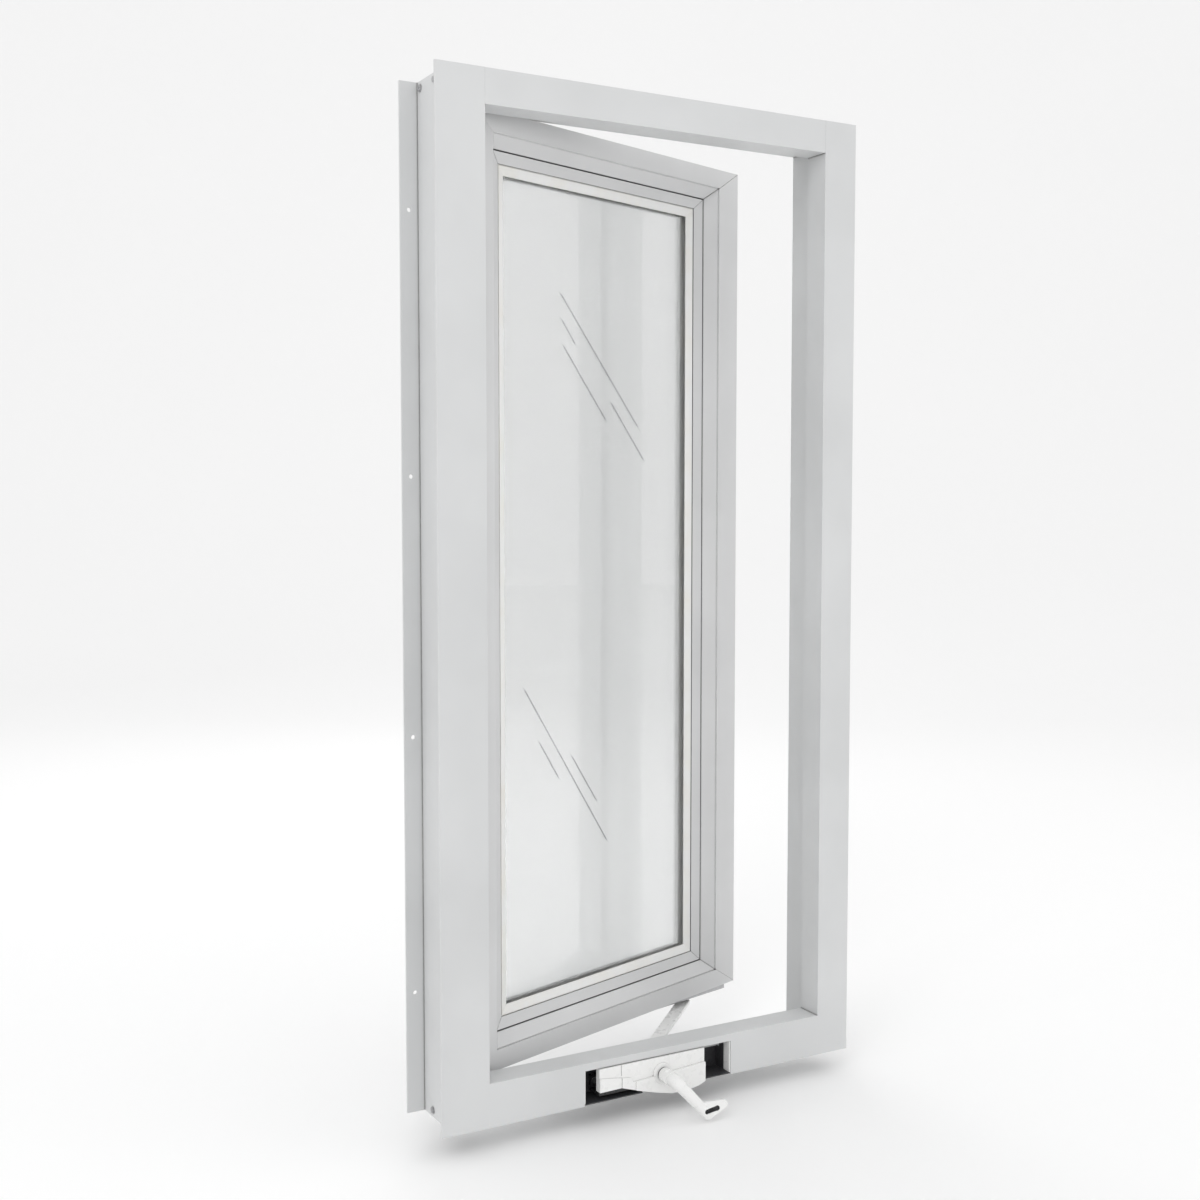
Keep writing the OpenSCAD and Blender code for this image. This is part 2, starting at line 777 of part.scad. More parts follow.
module guide_track() {
    lip_w = (track_w - 2 * (stud_r + 1.2)) / 2;
    from = track_near - track_end;
    to = track_far + track_end;
    color(steel) on_track() difference() {
        block([from, -track_w / 2, -track_h], [to, track_w / 2, 0]);
        block([from - eps, -track_w / 2 + track_wall, -track_h + track_wall],
            [to + eps, track_w / 2 - track_wall, -track_wall]);
        block([from - eps, -track_w / 2 + lip_w, -track_h - eps],
            [to + eps, track_w / 2 - lip_w, -track_h / 2]);
        for (x = track_screw_xs())
            translate([x, 0, -track_wall - eps])
                cylinder(r = small_shank_r + screw_fit, h = track_wall + 2 * eps);
    }
}

function track_screw_xs() = [track_near - 10, (track_near + track_far) / 2, track_far + 10];

module track_screws() {
    head = 0.35;
    color(steel) on_track() for (x = track_screw_xs()) translate([x, 0, 0]) {
        translate([0, 0, -track_wall - head]) cylinder(r = small_shank_r + 1, h = head);
        translate([0, 0, -track_wall]) cylinder(r = small_shank_r, h = track_wall + 7);
    }
}

// ---------- Crank handle ----------

// Spindle frame: X' points along the handle, Z' points into the room.
module crank_pose() {
    placed() translate([spindle_x, 0, spindle_z]) rotate([0, -crank_angle, 0])
        rotate([90, 0, 0]) children();
}

tube_in = 1.5;
tube_step = 0.4;

module crank_handle() {
    color(white) crank_pose() difference() {
        union() {
            translate([0, 0, hub_from]) cylinder(r = hub_r, h = hub_to - hub_from);
            crank_arm();
        }
        translate([0, 0, hub_from - eps]) cylinder(r = journal_r, h = -shaft_out - hub_from + eps);
        translate([0, 0, hub_from + 6]) rotate([90, 0, 0])
            translate([0, 0, journal_r - 0.5]) cylinder(r = 2, h = hub_r);
        grip_place() along_grip(14) round_bar(slot_root, slot_tip, 0);
    }
}

module crank_arm() {
    end_x = bend_r * (1 - cos(bend_turn));
    end_z = bend_r * sin(bend_turn);
    translate([bend_r, 0, hub_to - tube_in]) rotate([90, 0, 0]) rotate([0, 0, 180 - bend_turn])
        rotate_extrude(angle = bend_turn) translate([bend_r, 0]) circle(r = tube_r);
    translate([end_x, 0, hub_to - tube_in + end_z]) rotate([0, bend_turn, 0]) {
        translate([0, 0, -tube_in])
            cylinder(r1 = tube_r - tube_step, r2 = tube_end_r - tube_step, h = tube_len + tube_in);
        translate([0, 0, tube_len]) sphere(r = tube_end_r);
    }
    grip_place() along_grip(grip_t) {
        round_bar(grip_root, grip_tip, 0);
        round_bar(grip_foot, grip_tip, 0);
    }
}

// The flat grip's round ends (sideways, along the tube, radius) and those of its slot.
grip_t = 8;
grip_root = [1, -13, 4.2];
grip_foot = [0.5, 0.2, 6];
grip_tip = [22, 6, 5.2];
slot_root = [0.5, -4, 2.9];
slot_tip = [13, 3.2, 3.1];

// Moves children to the end of the tube, with Z along it.
module grip_place() {
    end_x = bend_r * (1 - cos(bend_turn));
    end_z = bend_r * sin(bend_turn);
    translate([end_x, 0, hub_to - tube_in + end_z]) rotate([0, bend_turn, 0])
        translate([0, 0, tube_len]) children();
}

// Extrudes a (sideways, along the tube) outline through the grip's middle plane.
module along_grip(thickness) {
    translate([-thickness / 2, 0, 0]) rotate([90, 0, 90]) linear_extrude(thickness) children();
}

// A flat bar between two round ends, each radius less an inset.
module round_bar(a, b, inset) {
    run = [b.x - a.x, b.y - a.y] / norm([b.x - a.x, b.y - a.y]);
    side = [run.y, -run.x];
    ra = a[2] - inset;
    rb = b[2] - inset;
    pa = [a.x, a.y];
    pb = [b.x, b.y];
    translate(pa) circle(r = ra);
    translate(pb) circle(r = rb);
    polygon([pa + side * (ra - 0.3), pb + side * (rb - 0.3), pb - side * (rb - 0.3),
        pa - side * (ra - 0.3)]);
}

// Rubber insert in the grip's slot.
module grip_pad() {
    color(black) crank_pose() grip_place() along_grip(grip_t - 0.8)
        round_bar(slot_root, slot_tip, 0.1);
}

module crank_set_screw() {
    color(steel) crank_pose() translate([0, 0, hub_from + 6]) rotate([90, 0, 0])
        translate([0, 0, journal_r]) difference() {
            cylinder(r = 2, h = hub_r - journal_r - 0.4);
            translate([0, 0, hub_r - journal_r - 2]) cylinder(r = 1, h = 3, $fn = 6);
        }
}

// ---------- Sash ----------

// Cross-section (w, d): w is the distance in from the outer edge, d the depth from the room side.
function sash_outline(flat) = [[0, 0], [flat - groove_w, 0], [flat - groove_w, groove_d],
    [flat, groove_d], [flat + step_w, step_d], [flat + step_w, sash_t - outer_lip],
    [flat + trim_w, sash_t - outer_lip], [flat + trim_w, sash_t], [0, sash_t]];

function sash_chamber(flat) = [[wall, wall], [flat - 7, wall], [flat - 3, wall + groove_d],
    [flat + step_w - wall, step_d + 2], [flat + step_w - wall, sash_t - outer_lip],
    [wall, sash_t - outer_lip]];

function bead_outline(flat) = [[flat + step_w, step_d + 2 * groove_d],
    [flat + step_w + groove_w, step_d + 2 * groove_d], [flat + step_w + groove_w, step_d + 0.7],
    [flat + step_w + bead_w, bead_d], [flat + step_w + bead_w, bead_base],
    [flat + step_w, bead_base]];

function wedge_outline(flat) = [[flat + step_w + bead_w, bead_d + 1.6],
    [flat + step_w + bead_w + groove_w, bead_d + 1.6],
    [flat + step_w + bead_w + groove_w, bead_d + 0.4],
    [flat + trim_w, glass_in - 1.2], [flat + trim_w, glass_in],
    [flat + step_w + 3, glass_in], [flat + step_w + 3, bead_base],
    [flat + step_w + bead_w, bead_base]];

function tape_outline(flat) = [[flat + pocket_w + 2, glass_in + glass_t],
    [flat + trim_w - 2, glass_in + glass_t], [flat + trim_w - 2, sash_t - outer_lip],
    [flat + pocket_w + 2, sash_t - outer_lip]];

// Outline points moved to the sash's place: a stile's lie in (X, Y), a rail's in (Y, Z).
function left_points(points) = [for (p = points) [sash_left + p[0], sash_y + p[1]]];
function right_points(points) = [for (p = points) [sash_right - p[0], sash_y + p[1]]];
function low_points(points) = [for (p = points) [sash_y + p[1], sash_bottom + p[0]]];
function high_points(points) = [for (p = points) [sash_y + p[1], sash_top - p[0]]];

module stile_bar(points) {
    translate([0, 0, sash_bottom]) linear_extrude(sash_top - sash_bottom) polygon(points);
}

module rail_bar(points) {
    along_x(sash_left, sash_right) polygon(points);
}

// The four regions of the sash face, split along the mitres at its corners.
inner_left = sash_left + stile_flat + trim_w;
inner_right = sash_right - lock_stile_flat - trim_w;
inner_low = sash_bottom + rail_flat + trim_w;
inner_top = sash_top - rail_flat - trim_w;
flat_left = sash_left + stile_flat;
flat_right = sash_right - lock_stile_flat;
flat_low = sash_bottom + rail_flat;
flat_top = sash_top - rail_flat;

region_left = [[sash_left, sash_bottom], [flat_left, flat_low], [inner_left, inner_low],
    [inner_left, inner_top], [flat_left, flat_top], [sash_left, sash_top]];
region_right = [[sash_right, sash_bottom], [sash_right, sash_top], [flat_right, flat_top],
    [inner_right, inner_top], [inner_right, inner_low], [flat_right, flat_low]];
region_low = [[sash_left, sash_bottom], [sash_right, sash_bottom], [flat_right, flat_low],
    [inner_right, inner_low], [inner_left, inner_low], [flat_left, flat_low]];
region_top = [[sash_left, sash_top], [flat_left, flat_top], [inner_left, inner_top],
    [inner_right, inner_top], [flat_right, flat_top], [sash_right, sash_top]];

module in_region(region) {
    intersection() {
        children();
        translate([0, frame_depth, 0]) rotate([90, 0, 0]) linear_extrude(frame_depth - stop_depth)
            polygon(region);
    }
}

module sash_hinge_stile() {
    color(paint) sash_pose() in_region(region_left) difference() {
        stile_bar(left_points(sash_outline(stile_flat)));
        translate([0, 0, -eps]) linear_extrude(face_h + eps)
            polygon(left_points(sash_chamber(stile_flat)));
        hinge_screw_holes(1);
    }
}

module sash_lock_stile() {
    color(paint) sash_pose() in_region(region_right) difference() {
        stile_bar(right_points(sash_outline(lock_stile_flat)));
        translate([0, 0, -eps]) linear_extrude(face_h + eps)
            polygon(right_points(sash_chamber(lock_stile_flat)));
    }
}

module sash_top_rail() {
    color(paint) sash_pose() in_region(region_top) difference() {
        rail_bar(high_points(sash_outline(rail_flat)));
        along_x(0, face_w) polygon(high_points(sash_chamber(rail_flat)));
    }
}

module sash_bottom_rail() {
    color(paint) difference() {
        sash_pose() in_region(region_low) difference() {
            rail_bar(low_points(sash_outline(rail_flat)));
            along_x(0, face_w) polygon(low_points(sash_chamber(rail_flat)));
        }
        on_track() for (x = track_screw_xs()) translate([x, 0, -eps])
            cylinder(r = small_shank_r + screw_fit, h = wall + 2 * eps);
    }
}

// L-shaped keys that join the hollow stiles and rails inside each mitre.
module sash_corner_keys() {
    leg = 60;
    bar = 14;
    key_t = 16;
    inset = wall + 0.3;
    color(steel) sash_pose() for (right = [0, 1], top = [0, 1])
        translate([right ? sash_right : sash_left, sash_y + sash_t - outer_lip - 0.3 - key_t,
            top ? sash_top : sash_bottom])
            mirror([right, 0, 0]) mirror([0, 0, top]) {
                block([inset, 0, inset + 8], [leg, key_t, inset + 8 + bar]);
                block([inset, 0, inset + 8], [inset + bar, key_t, leg]);
            }
}

module bead_hinge() {
    color(bead_paint) sash_pose() in_region(region_left)
        stile_bar(left_points(bead_outline(stile_flat)));
}

module bead_lock() {
    color(bead_paint) sash_pose() in_region(region_right)
        stile_bar(right_points(bead_outline(lock_stile_flat)));
}

module bead_top() {
    color(bead_paint) sash_pose() in_region(region_top)
        rail_bar(high_points(bead_outline(rail_flat)));
}

module bead_bottom() {
    color(bead_paint) sash_pose() in_region(region_low)
        rail_bar(low_points(bead_outline(rail_flat)));
}

// A mitred ring of one strip outline on all four sides.
module sash_ring(left, right, low, top) {
    in_region(region_left) stile_bar(left_points(left));
    in_region(region_right) stile_bar(right_points(right));
    in_region(region_low) rail_bar(low_points(low));
    in_region(region_top) rail_bar(high_points(top));
}

module glazing_wedge() {
    color(white) sash_pose() sash_ring(wedge_outline(stile_flat), wedge_outline(lock_stile_flat),
        wedge_outline(rail_flat), wedge_outline(rail_flat));
}

module glazing_tape() {
    color(black) sash_pose() sash_ring(tape_outline(stile_flat), tape_outline(lock_stile_flat),
        tape_outline(rail_flat), tape_outline(rail_flat));
}

// A block over the glass area from depth a to depth b, pulled in by an inset.
module glass_block(a, b, inset) {
    block([flat_left + pocket_w + inset, sash_y + a, flat_low + pocket_w + inset],
        [flat_right - pocket_w - inset, sash_y + b, flat_top - pocket_w - inset]);
}

module glass_inner_pane() {
    color(clear) sash_pose() glass_block(glass_in, glass_in + pane_t, 0);
}

module glass_outer_pane() {
    color(clear) sash_pose() glass_block(glass_in + pane_t + cavity, glass_in + glass_t, 0);
}

module glass_spacer() {
    spacer_in = 3;
    spacer_w = 7;
    from = glass_in + pane_t;
    color(steel) sash_pose() difference() {
        glass_block(from, from + cavity, spacer_in);
        glass_block(from - eps, from + cavity + eps, spacer_in + spacer_w);
    }
}

module setting_blocks() {
    block_l = 80;
    color(black) sash_pose() for (x = [flat_left + pocket_w + 70, flat_right - pocket_w - 70])
        block([x - block_l / 2, sash_y + glass_in, flat_low + step_w],
            [x + block_l / 2, sash_y + glass_in + glass_t, flat_low + pocket_w]);
}

hinge_jamb();
lock_jamb();
frame_head();
frame_sill();
frame_seal();
corner_screws();
hinge_frame_leaf_upper();
hinge_frame_leaf_lower();
hinge_pin_upper();
hinge_pin_lower();
hinge_frame_screws();
recess_liner();
recess_end_caps();
operator_base();
operator_cover();
operator_screws();
arm_pivot_pin();
worm_bushing();
spindle_seal();
worm_shaft();
crank_handle();
grip_pad();
crank_set_screw();
sector_gear();
operator_arm();
guide_stud();
track_shoe();
sash_hinge_stile();
sash_lock_stile();
sash_top_rail();
sash_bottom_rail();
sash_corner_keys();
bead_hinge();
bead_lock();
bead_top();
bead_bottom();
glazing_wedge();
glass_inner_pane();
glass_outer_pane();
glass_spacer();
glazing_tape();
setting_blocks();
guide_track();
track_screws();
hinge_sash_leaf_upper();
hinge_sash_leaf_lower();
hinge_sash_screws();
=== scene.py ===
"""Casement window with a crank operator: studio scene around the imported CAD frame.

Units are metres. +X runs to the right seen from the room, +Y outdoors and +Z up.
"""
import json
import math

import bmesh
import bpy
from mathutils import Matrix, Vector


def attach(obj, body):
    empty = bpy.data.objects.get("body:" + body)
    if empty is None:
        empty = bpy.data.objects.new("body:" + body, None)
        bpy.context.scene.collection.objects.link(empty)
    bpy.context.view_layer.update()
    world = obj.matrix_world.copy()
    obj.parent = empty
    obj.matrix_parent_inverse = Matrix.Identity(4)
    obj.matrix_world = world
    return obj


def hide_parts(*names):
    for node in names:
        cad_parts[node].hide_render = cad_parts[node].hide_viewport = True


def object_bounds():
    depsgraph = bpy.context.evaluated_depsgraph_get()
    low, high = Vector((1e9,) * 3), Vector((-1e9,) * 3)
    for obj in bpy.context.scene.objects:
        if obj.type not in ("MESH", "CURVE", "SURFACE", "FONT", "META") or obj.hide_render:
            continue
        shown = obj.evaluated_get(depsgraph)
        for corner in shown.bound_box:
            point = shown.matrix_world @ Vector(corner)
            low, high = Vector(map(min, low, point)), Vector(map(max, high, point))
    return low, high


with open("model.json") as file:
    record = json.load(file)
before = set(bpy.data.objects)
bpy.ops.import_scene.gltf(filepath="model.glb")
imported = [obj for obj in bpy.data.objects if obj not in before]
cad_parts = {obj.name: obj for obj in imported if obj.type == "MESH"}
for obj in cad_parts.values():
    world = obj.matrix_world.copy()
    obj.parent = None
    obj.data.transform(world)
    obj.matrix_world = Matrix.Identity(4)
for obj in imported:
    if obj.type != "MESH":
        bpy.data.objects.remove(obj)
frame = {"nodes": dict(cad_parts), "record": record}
CAD_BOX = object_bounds()
NODES = frame["nodes"]
MM = 0.001


# ---------- Shader helpers ----------

class Shader:
    """A node material under construction: a Principled shader and helpers that feed it."""

    def __init__(self, name):
        self.material = bpy.data.materials.new(name)
        self.material.use_nodes = True
        self.tree = self.material.node_tree
        self.bsdf = self.tree.nodes["Principled BSDF"]
        self.coords = self.add("ShaderNodeTexCoord").outputs["Object"]

    def add(self, kind, **settings):
        node = self.tree.nodes.new(kind)
        for key, value in settings.items():
            setattr(node, key, value)
        return node

    def link(self, source, target):
        self.tree.links.new(source, target)

    def put(self, **values):
        """Sets the shader's own sockets to constant values."""
        for key, value in values.items():
            self.bsdf.inputs[key.replace("_", " ")].default_value = value

    def mapped(self, stretch):
        """Object coordinates, scaled per axis."""
        node = self.add("ShaderNodeMapping")
        node.inputs["Scale"].default_value = stretch
        self.link(self.coords, node.inputs["Vector"])
        return node.outputs["Vector"]

    def noise(self, size, detail=2.0, rough=0.5, stretch=(1, 1, 1)):
        """Noise whose features are about size metres across."""
        node = self.add("ShaderNodeTexNoise")
        node.inputs["Scale"].default_value = 1 / size
        node.inputs["Detail"].default_value = detail
        node.inputs["Roughness"].default_value = rough
        self.link(self.mapped(stretch), node.inputs["Vector"])
        return node.outputs["Fac"]

    def ranged(self, value, low, high, out_low=0.0, out_high=1.0):
        """Maps low..high of a value onto out_low..out_high, clamped."""
        node = self.add("ShaderNodeMapRange")
        node.inputs["From Min"].default_value = low
        node.inputs["From Max"].default_value = high
        node.inputs["To Min"].default_value = out_low
        node.inputs["To Max"].default_value = out_high
        self.link(value, node.inputs["Value"])
        return node.outputs["Result"]

    def math(self, operation, a, b):
        node = self.add("ShaderNodeMath", operation=operation)
        for socket, value in zip(node.inputs, (a, b)):
            if isinstance(value, (int, float)):
                socket.default_value = value
            else:
                self.link(value, socket)
        return node.outputs["Value"]

    def blend(self, mask, a, b):
        """Colour a where the mask is 0 and b where it is 1."""
        node = self.add("ShaderNodeMix", data_type="RGBA")
        self.link(mask, node.inputs["Factor"])
        for index, value in ((6, a), (7, b)):
            if isinstance(value, tuple):
                node.inputs[index].default_value = (*value, 1)
            else:
                self.link(value, node.inputs[index])
        return node.outputs[2]

    def edges(self, radius):
        """1 on edges rounder than the flat surface, 0 elsewhere."""
        bevel = self.add("ShaderNodeBevel", samples=4)
        bevel.inputs["Radius"].default_value = radius
        normal = self.add("ShaderNodeNewGeometry").outputs["Normal"]
        dot = self.add("ShaderNodeVectorMath", operation="DOT_PRODUCT")
        self.link(bevel.outputs["Normal"], dot.inputs[0])
        self.link(normal, dot.inputs[1])
        return self.ranged(dot.outputs["Value"], 0.99, 0.86)

    def crevices(self, distance, shallow=0.75, deep=0.2):
        """1 deep in corners and gaps, 0 in the open."""
        node = self.add("ShaderNodeAmbientOcclusion", samples=4)
        node.inputs["Distance"].default_value = distance
        return self.ranged(node.outputs["AO"], shallow, deep)

    def bump(self, height, strength, distance):
        node = self.add("ShaderNodeBump")
        node.inputs["Strength"].default_value = strength
        node.inputs["Distance"].default_value = distance
        self.link(height, node.inputs["Height"])
        self.link(node.outputs["Normal"], self.bsdf.inputs["Normal"])

    def colour(self, socket):
        self.link(socket, self.bsdf.inputs["Base Color"])

    def roughness(self, value, low, high):
        self.link(self.ranged(value, 0.3, 0.7, low, high), self.bsdf.inputs["Roughness"])


JOINT_SHADE = (0.035, 0.035, 0.035)


# Its last argument is the painted shade colour for corners and recesses.
def powder_coat(name, paint, worn, shade_colour=(0.47, 0.45, 0.42)):
    """Satin powder coat on aluminium: orange peel, rubbed edges, and painted shade darkening the
    corners and joints.
    """
    s = Shader(name)
    tone = s.noise(0.16, detail=3)
    lighter = tuple(min(1.0, c * 1.035) for c in paint)
    darker = tuple(c * 0.965 for c in paint)
    base = s.blend(s.ranged(tone, 0.35, 0.65), darker, lighter)
    patchy = s.ranged(s.noise(0.02, detail=4), 0.42, 0.62)
    rubbed = s.math("MULTIPLY", s.edges(0.9 * MM), s.math("MULTIPLY", patchy, 0.7))
    base = s.blend(rubbed, base, worn)
    # Painted shade: ambient occlusion blends a dark grey into corners and recesses.
    painted_shade = s.math("MULTIPLY", s.crevices(9 * MM), s.ranged(s.noise(0.03), 0.3, 0.7, 0.2, 0.45))
    # Painted shade: near black in tight joints and gaps between parts.
    painted_joint_shade = s.math("MULTIPLY", s.crevices(2.4 * MM, 0.86, 0.5), 0.9)
    s.colour(s.blend(painted_joint_shade, s.blend(painted_shade, base, shade_colour), JOINT_SHADE))
    s.roughness(s.noise(0.012, detail=3), 0.36, 0.5)
    s.put(Specular_IOR_Level=0.42)
    peel = s.math("ADD", s.noise(1.6 * MM, detail=2), s.math("MULTIPLY", s.noise(0.4 * MM), 0.35))
    s.bump(peel, 0.16, 0.12 * MM)
    return s.material


def enamel(name, paint, metal=(0.42, 0.42, 0.43)):
    """Semi-gloss enamel on a die casting, chipped to the metal on a few edges, with painted shade
    near black in its creases.
    """
    s = Shader(name)
    tone = s.ranged(s.noise(0.05, detail=3), 0.35, 0.65)
    base = s.blend(tone, tuple(c * 0.97 for c in paint), paint)
    chips = s.math("MULTIPLY", s.edges(0.5 * MM), s.ranged(s.noise(4 * MM, detail=5), 0.60, 0.66))
    base = s.blend(chips, base, metal)
    # Painted shade: ambient occlusion blends near black into creases and gaps.
    painted_shade = s.math("MULTIPLY", s.crevices(2.2 * MM), s.ranged(s.noise(0.012), 0.35, 0.7, 0.5, 0.9))
    s.colour(s.blend(painted_shade, base, (0.10, 0.10, 0.10)))
    s.roughness(s.noise(8 * MM, detail=3), 0.24, 0.36)
    s.put(Coat_Weight=0.15, Coat_Roughness=0.2)
    s.bump(s.noise(2.2 * MM, detail=3), 0.12, 0.15 * MM)
    return s.material


def zinc_steel(name, colour=(0.55, 0.55, 0.56)):
    """Zinc-plated steel: fine brushed lines, mottled brightness and a little rust in corners."""
    s = Shader(name)
    brushed = s.noise(0.5 * MM, detail=3, stretch=(0.05, 1, 1))
    mottled = s.ranged(s.noise(7 * MM, detail=4), 0.35, 0.65)
    base = s.blend(mottled, tuple(c * 0.86 for c in colour), colour)
    rust = s.math("MULTIPLY", s.crevices(4 * MM), s.ranged(s.noise(3 * MM, detail=4), 0.5, 0.7))
    s.colour(s.blend(rust, base, (0.22, 0.12, 0.06)))
    s.roughness(brushed, 0.28, 0.46)
    s.put(Metallic=0.9)
    s.bump(brushed, 0.2, 0.05 * MM)
    return s.material


def mill_aluminium(name):
    """Unpainted extrusion with die lines along its length."""
    s = Shader(name)
    lines = s.noise(0.7 * MM, detail=2, stretch=(1, 1, 0.02))
    s.colour(s.blend(s.ranged(lines, 0.3, 0.7), (0.58, 0.58, 0.6), (0.74, 0.74, 0.75)))
    s.roughness(lines, 0.3, 0.45)
    s.put(Metallic=0.85)
    s.bump(lines, 0.15, 0.04 * MM)
    return s.material


def rubber(name):
    """Extruded EPDM: matte, with a chalky bloom."""
    s = Shader(name)
    bloom = s.ranged(s.noise(6 * MM, detail=4), 0.45, 0.75, 0.0, 0.5)
    s.colour(s.blend(bloom, (0.018, 0.018, 0.019), (0.075, 0.075, 0.078)))
    s.roughness(s.noise(3 * MM), 0.6, 0.85)
    s.put(Specular_IOR_Level=0.3)
    s.bump(s.noise(0.9 * MM, detail=3), 0.25, 0.1 * MM)
    return s.material


def vinyl(name, colour):
    """Matte extruded vinyl, slightly yellowed in patches, with painted shade in its corners."""
    s = Shader(name)
    aged = s.ranged(s.noise(0.04, detail=3), 0.4, 0.7)
    base = s.blend(aged, colour, tuple(c * k for c, k in zip(colour, (0.985, 0.965, 0.925))))
    # Painted shade: ambient occlusion blends a dark grey into corners and recesses.
    painted_shade = s.math("MULTIPLY", s.crevices(5 * MM), s.ranged(s.noise(9 * MM), 0.35, 0.7, 0.15, 0.5))
    s.colour(s.blend(painted_shade, base, (0.46, 0.44, 0.40)))
    s.roughness(s.noise(5 * MM), 0.45, 0.6)
    s.bump(s.noise(1.2 * MM, detail=3), 0.12, 0.08 * MM)
    return s.material


def nylon(name):
    """Dark moulded nylon with a polished look where it slides."""
    s = Shader(name)
    worn = s.ranged(s.noise(3 * MM), 0.3, 0.7)
    s.colour(s.blend(worn, (0.03, 0.03, 0.033), (0.055, 0.055, 0.06)))
    s.roughness(s.noise(2 * MM), 0.38, 0.55)
    s.bump(s.noise(0.6 * MM), 0.15, 0.05 * MM)
    return s.material


def painted_reflection_streaks(s, strokes):
    """Painted reflection streaks: 1 on thin slanted strokes, each (x, z, length, angle) in
    millimetres and degrees.
    """
    split = s.add("ShaderNodeSeparateXYZ")
    s.link(s.coords, split.inputs["Vector"])
    x, z = split.outputs["X"], split.outputs["Z"]
    marks = 0.0
    for start_x, start_z, length, angle in strokes:
        run = (math.cos(math.radians(angle)), math.sin(math.radians(angle)))
        dx = s.math("SUBTRACT", x, start_x * MM)
        dz = s.math("SUBTRACT", z, start_z * MM)
        along = s.math("ADD", s.math("MULTIPLY", dx, run[0]), s.math("MULTIPLY", dz, run[1]))
        across = s.math("SUBTRACT", s.math("MULTIPLY", dx, run[1]), s.math("MULTIPLY", dz, run[0]))
        line = s.ranged(s.math("ABSOLUTE", across, 0.0), 0.9 * MM, 0.4 * MM)
        inside = s.math("MULTIPLY", s.ranged(along, 0, 8 * MM),
                        s.ranged(along, length * MM, (length - 8) * MM))
        marks = s.math("MAXIMUM", marks, s.math("MULTIPLY", line, inside))
    return marks


# Painted reflection streaks on the inner pane: start x, start z, length, angle.
STROKES = ((-76, 382, 221, -49), (-74.5, 351, 48, -51), (-71, 318, 125, -50), (13, 252, 105, -50),
           (-136.5, -104, 263, -56), (-112, -172, 68, -56.5), (-57, -196, 87, -55.5))


GLASS_TINT = (0.93, 0.945, 0.945)
# The rest of the light goes straight through, so the spacer between the panes is lit.
GLASS_ALPHA = 0.45


def float_glass(name, strokes=()):
    """Clear float glass with faint hazy smears; the strokes are painted reflection streaks, thin
    slanted dark lines.
    """
    s = Shader(name)
    s.put(Base_Color=(*GLASS_TINT, 1), Transmission_Weight=1.0, IOR=1.45, Alpha=GLASS_ALPHA)
    s.put(Specular_IOR_Level=0.5)
    smears = s.noise(0.03, detail=4, stretch=(1.0, 1.0, 0.12))
    s.link(s.ranged(smears, 0.5, 0.8, 0.0, 0.05), s.bsdf.inputs["Roughness"])
    s.bump(s.noise(0.25, detail=1), 0.01, 1 * MM)
    if strokes:
        marks = painted_reflection_streaks(s, strokes)
        # Painted reflection: dark slanted streaks where the glass would show glints.
        s.colour(s.blend(marks, GLASS_TINT, (0.16, 0.16, 0.17)))
        s.link(s.ranged(marks, 0, 1, GLASS_ALPHA, 0.85), s.bsdf.inputs["Alpha"])
    return s.material


# ---------- Materials on the CAD nodes ----------

FRAME_PAINT = (0.645, 0.652, 0.655)
SASH_PAINT = (0.69, 0.692, 0.695)
BEAD_PAINT = (0.67, 0.672, 0.675)
WHITE = (0.88, 0.88, 0.87)
WORN_PAINT = (0.80, 0.80, 0.80)

MATERIALS = {
    "frame_paint": powder_coat("frame_paint", FRAME_PAINT, WORN_PAINT),
    "sash_paint": powder_coat("sash_paint", SASH_PAINT, WORN_PAINT),
    "bead_paint": powder_coat("bead_paint", BEAD_PAINT, WORN_PAINT),
    "wedge_vinyl": vinyl("wedge_vinyl", (0.87, 0.87, 0.86)),
    "seal_rubber": rubber("seal_rubber"),
    "glass": float_glass("glass"),
    "spacer_aluminium": vinyl("spacer_aluminium", (0.80, 0.80, 0.81)),
    "operator_white": enamel("operator_white", WHITE),
    "steel": zinc_steel("steel"),
    "nylon_black": nylon("nylon_black"),
    "key_aluminium": mill_aluminium("key_aluminium"),
    "tape_grey": vinyl("tape_grey", (0.80, 0.80, 0.80)),
    # Painted shade: the recess liner is near black so the operator recess reads as a dark void.
    "liner_black": nylon("liner_black"),
    # Painted shade: the operator base is near black so it reads as the shadow under the cover.
    "operator_black": enamel("operator_black", (0.03, 0.03, 0.031)),
}
# Nodes that look different from the rest of their slot.
OWN_MATERIALS = {
    "glass_inner_pane": float_glass("marked_glass", STROKES),
    # Painted light: the end caps get a whiter copy of the operator enamel so their shaded side
    # faces read as lit.
    "recess_end_caps": enamel("cap_white", (0.93, 0.93, 0.92)),
}

# Rounding of CAD edges in millimetres, per slot.
BEVELS = {"frame_paint": 0.7, "sash_paint": 0.7, "bead_paint": 0.4, "wedge_vinyl": 0.4,
          "operator_white": 0.7, "steel": 0.2, "glass": 0.3}
WELD_DISTANCE = 0.005 * MM
FLAT_ANGLE = math.radians(0.5)
SHARP_ANGLE = math.radians(28)


def soften(obj, width):
    """Rounds a CAD node's edges with modifiers only; flat faces are merged before the bevel."""
    weld = obj.modifiers.new("weld", "WELD")
    weld.merge_threshold = WELD_DISTANCE
    flat = obj.modifiers.new("flat", "DECIMATE")
    flat.decimate_type = "DISSOLVE"
    flat.angle_limit = FLAT_ANGLE
    bevel = obj.modifiers.new("bevel", "BEVEL")
    bevel.width = width
    bevel.segments = 2
    bevel.limit_method = "ANGLE"
    bevel.angle_limit = SHARP_ANGLE


